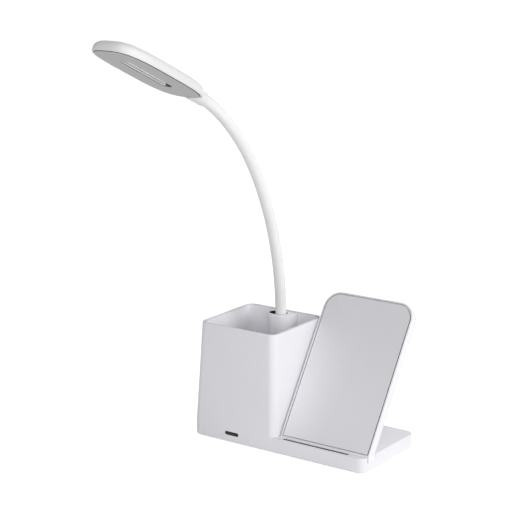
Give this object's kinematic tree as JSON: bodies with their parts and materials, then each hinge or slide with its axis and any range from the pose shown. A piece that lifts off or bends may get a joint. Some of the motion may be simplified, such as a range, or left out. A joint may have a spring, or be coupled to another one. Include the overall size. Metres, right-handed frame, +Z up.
{
  "type": "desk lamp with pen cup and phone charging stand",
  "caption": "Desk lamp on a flexible neck that rises from a pen cup; the low base also carries a fold-down wireless charging stand for a phone.",
  "frame": {"origin": "middle of the base's footprint, at the height of the desk under its rubber feet", "axes": "+X to the right along the front, from the cup to the phone stand; +Y to the back; +Z up"},
  "size_m": [0.1756, 0.2496, 0.3597],
  "materials": {
    "white_shell": "moulded ABS, fine satin texture",
    "liner": "moulded ABS, fine satin texture",
    "cover": "moulded ABS, matt",
    "silicone": "smooth matt silicone sleeve",
    "panel_grey": "light grey moulded plastic, fine matt texture",
    "head_grey": "grey moulded plastic, matt",
    "diffuser": "opal diffusing sheet",
    "smoked": "smoked polycarbonate, glossy",
    "black_silicone": "matt silicone",
    "foot_rubber": "matt rubber",
    "steel": "zinc-plated steel",
    "board": "glass-fibre circuit board with green mask",
    "copper": "bare copper winding",
    "ferrite": "sintered ferrite",
    "led": "LED package with phosphor",
    "led_board_white": "aluminium board with white mask"
  },
  "bodies": {
    "base": {"main_housing": "white_shell", "cup_liner": "liner", "bottom_cover": "cover", "cover_screws": "steel", "rubber_feet": "foot_rubber", "ballast_plate": "steel", "main_board": "board", "board_screws": "steel", "power_inlet": "steel", "indicator_window": "smoked", "indicator_board": "board", "phone_rest_strip": "black_silicone", "hinge_pins": "steel", "neck_ferrule": "steel", "neck_nut": "steel", "neck_root_sleeve": "silicone", "neck_root_core": "steel"},
    "neck_link_1": {"neck_sleeve_1": "silicone", "neck_core_1": "steel"},
    "neck_link_2": {"neck_sleeve_2": "silicone", "neck_core_2": "steel"},
    "neck_link_3": {"neck_sleeve_3": "silicone", "neck_core_3": "steel"},
    "neck_link_4": {"neck_sleeve_4": "silicone", "neck_core_4": "steel"},
    "neck_link_5": {"neck_sleeve_5": "silicone", "neck_core_5": "steel"},
    "neck_link_6": {"neck_sleeve_6": "silicone", "neck_core_6": "steel"},
    "head": {"neck_tip_sleeve": "silicone", "neck_tip_core": "steel", "head_collar": "white_shell", "head_shell": "white_shell", "head_bezel": "head_grey", "light_diffuser": "diffuser", "led_board": "led_board_white", "led_chips": "led", "touch_plate": "copper"},
    "stand": {"stand_frame": "white_shell", "stand_panel": "panel_grey", "ferrite_sheet": "ferrite", "charging_coil": "copper", "coil_board": "board", "coil_screws": "steel", "hinge_washers": "steel"}
  },
  "joints": [
    {"name": "neck_bend_1", "type": "hinge", "parent": "base", "child": "neck_link_1", "pos_m": [-0.04, 0.02186, 0.13245], "axis": [1, 0, 0], "range_deg": [-15, 15]},
    {"name": "neck_sway_1", "type": "hinge", "parent": "neck_link_1", "child": "neck_link_2", "pos_m": [-0.04, 0.0146, 0.16764], "axis": [0, 0.9634, 0.2681], "range_deg": [-12, 12]},
    {"name": "neck_bend_2", "type": "hinge", "parent": "neck_link_2", "child": "neck_link_3", "pos_m": [-0.04, 0.00264, 0.20153], "axis": [1, 0, 0], "range_deg": [-15, 15]},
    {"name": "neck_sway_2", "type": "hinge", "parent": "neck_link_3", "child": "neck_link_4", "pos_m": [-0.04, -0.01379, 0.23348], "axis": [0, 0.8563, 0.5165], "range_deg": [-12, 12]},
    {"name": "neck_bend_3", "type": "hinge", "parent": "neck_link_4", "child": "neck_link_5", "pos_m": [-0.04, -0.03105, 0.25784], "axis": [1, 0, 0], "range_deg": [-15, 15]},
    {"name": "neck_sway_3", "type": "hinge", "parent": "neck_link_5", "child": "neck_link_6", "pos_m": [-0.04, -0.05169, 0.2794], "axis": [0, 0.6696, 0.7428], "range_deg": [-12, 12]},
    {"name": "neck_bend_4", "type": "hinge", "parent": "neck_link_6", "child": "head", "pos_m": [-0.04, -0.07527, 0.29771], "axis": [1, 0, 0], "range_deg": [-15, 15]},
    {"name": "stand_fold", "type": "hinge", "parent": "base", "child": "stand", "pos_m": [0.0442, -0.0209, 0.0114], "axis": [-1, 0, 0], "range_deg": [0, 57]}
  ],
  "couplings": [
    {"joint": "neck_bend_2", "follows": "neck_bend_1", "ratio": 1},
    {"joint": "neck_sway_2", "follows": "neck_sway_1", "ratio": 1},
    {"joint": "neck_bend_3", "follows": "neck_bend_1", "ratio": 1},
    {"joint": "neck_sway_3", "follows": "neck_sway_1", "ratio": 1},
    {"joint": "neck_bend_4", "follows": "neck_bend_1", "ratio": 1}
  ]
}
